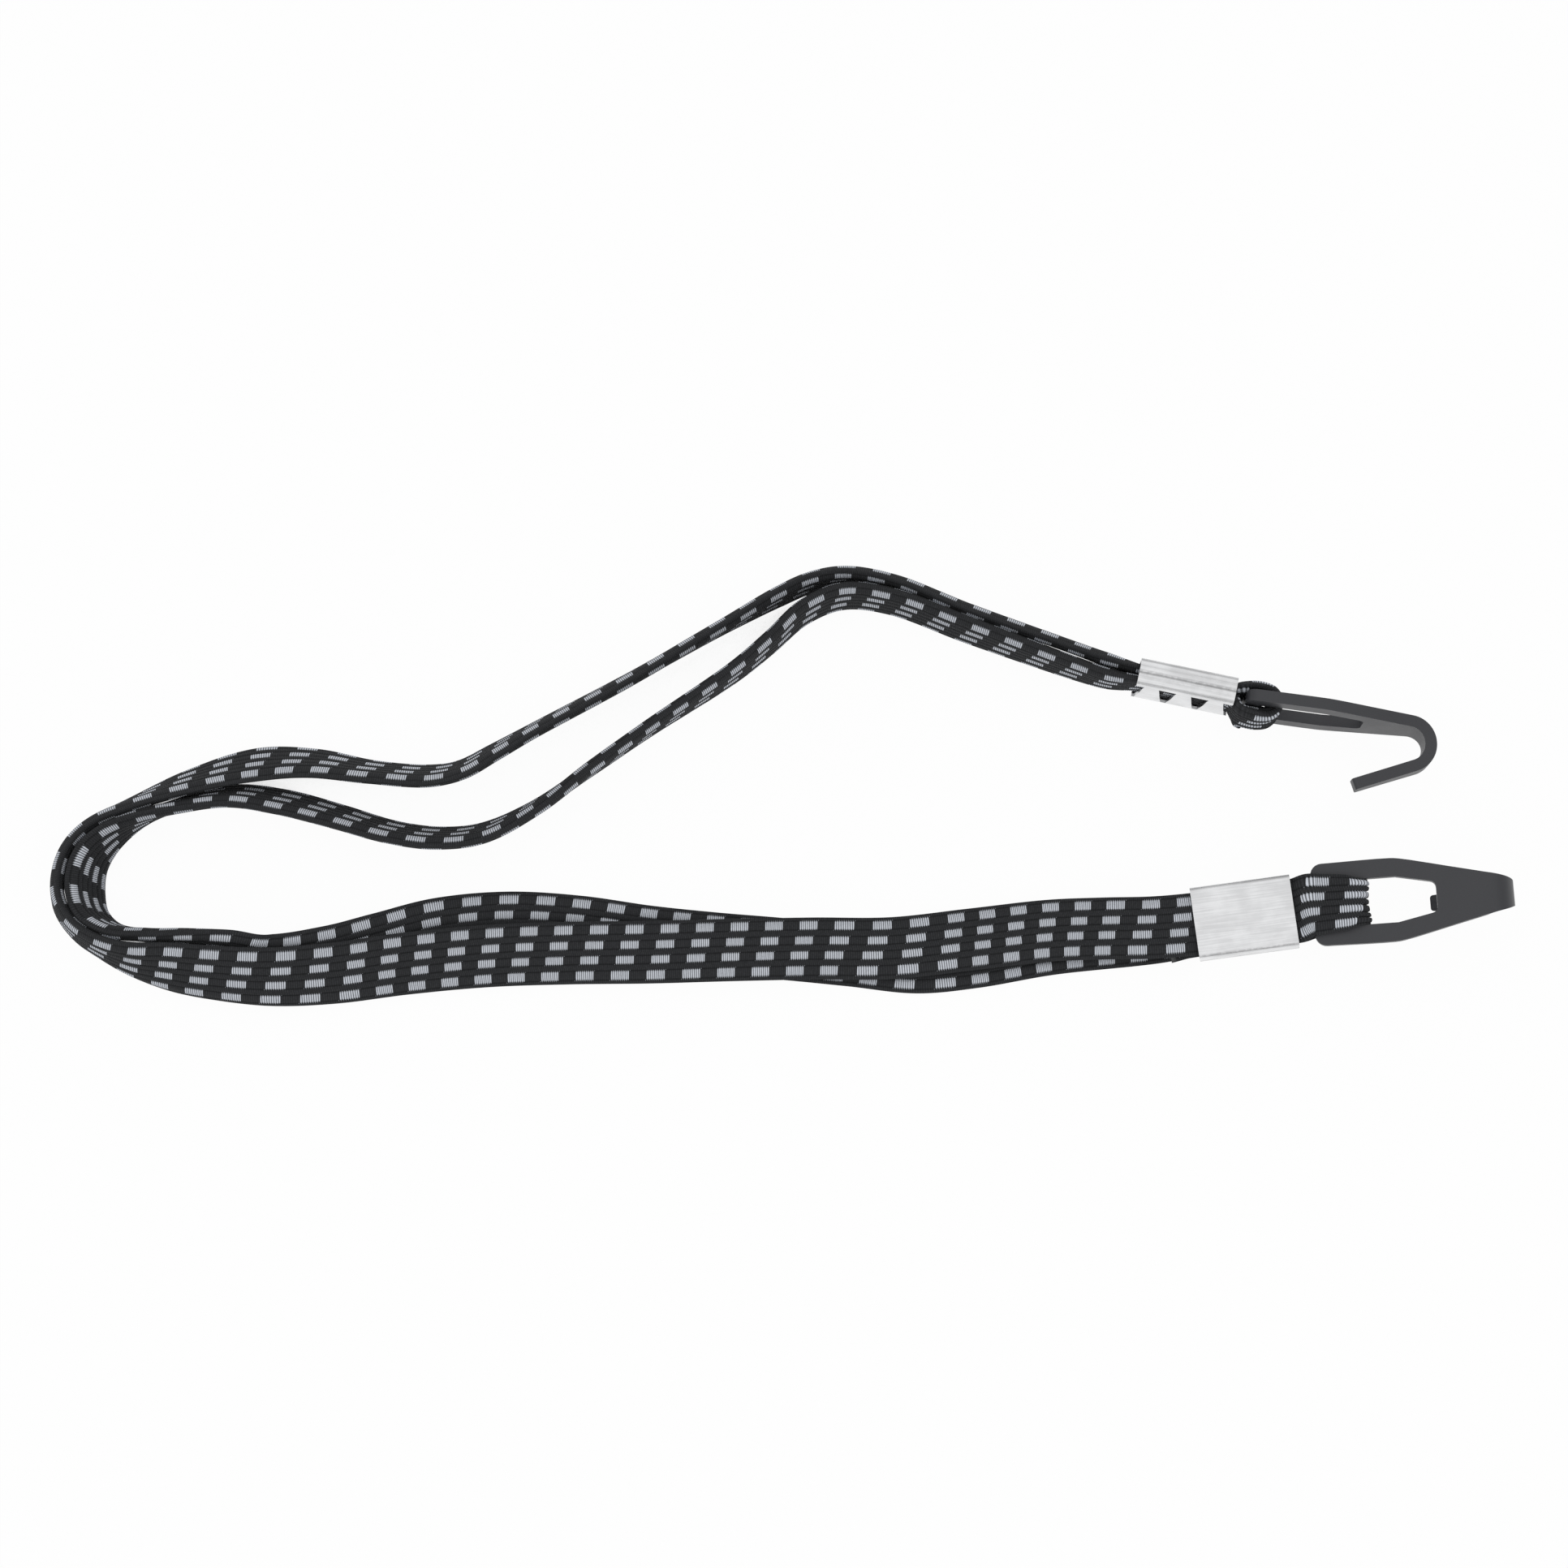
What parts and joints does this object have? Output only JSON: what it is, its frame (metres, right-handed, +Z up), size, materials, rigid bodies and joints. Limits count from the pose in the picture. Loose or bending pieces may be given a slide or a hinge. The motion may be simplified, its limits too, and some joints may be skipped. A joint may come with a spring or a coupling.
{
  "type": "tie-down strap",
  "caption": "Doubled flat elastic webbing strap lying in a U, looped round the bar of a flat plastic hook at each end and held there by a crimped metal ferrule; hooks swing on their bars.",
  "frame": {"origin": "middle of the strap's box, on the table that it lies on", "axes": "+X from the U's bend towards both hooks, +Y from the band that lies flat to the band that stands on edge, +Z up from the table"},
  "size_m": [0.384, 0.1194, 0.024],
  "materials": {
    "webbing": "black ribbed woven elastic with rows of pale grey dashes",
    "rubber_thread": "plain tan rubber thread",
    "ferrule": "bright sheet, brushed lengthwise",
    "hook": "dark grey moulded plastic, satin"
  },
  "bodies": {
    "strap": {"inner_band": "webbing", "upper_loop": "webbing", "outer_band": "webbing", "lower_loop": "webbing", "rubber_thread_1": "rubber_thread", "rubber_thread_2": "rubber_thread", "rubber_thread_3": "rubber_thread", "rubber_thread_4": "rubber_thread", "rubber_thread_5": "rubber_thread", "rubber_thread_6": "rubber_thread", "rubber_thread_7": "rubber_thread", "rubber_thread_8": "rubber_thread", "rubber_thread_9": "rubber_thread", "upper_ferrule": "ferrule", "lower_ferrule": "ferrule"},
    "upper_hook": {"upper_hook": "hook"},
    "lower_hook": {"lower_hook": "hook"}
  },
  "joints": [
    {"name": "upper_hook_swing", "type": "hinge", "parent": "strap", "child": "upper_hook", "pos_m": [0.12638, 0.02046, 0.01085], "axis": [-0.0157, -0.0147, 0.9998], "range_deg": [-30, 80]},
    {"name": "lower_hook_swing", "type": "hinge", "parent": "strap", "child": "lower_hook", "pos_m": [0.14197, -0.035, 0.0136], "axis": [0.0551, -0.9919, -0.1142], "range_deg": [-30, 80]}
  ]
}
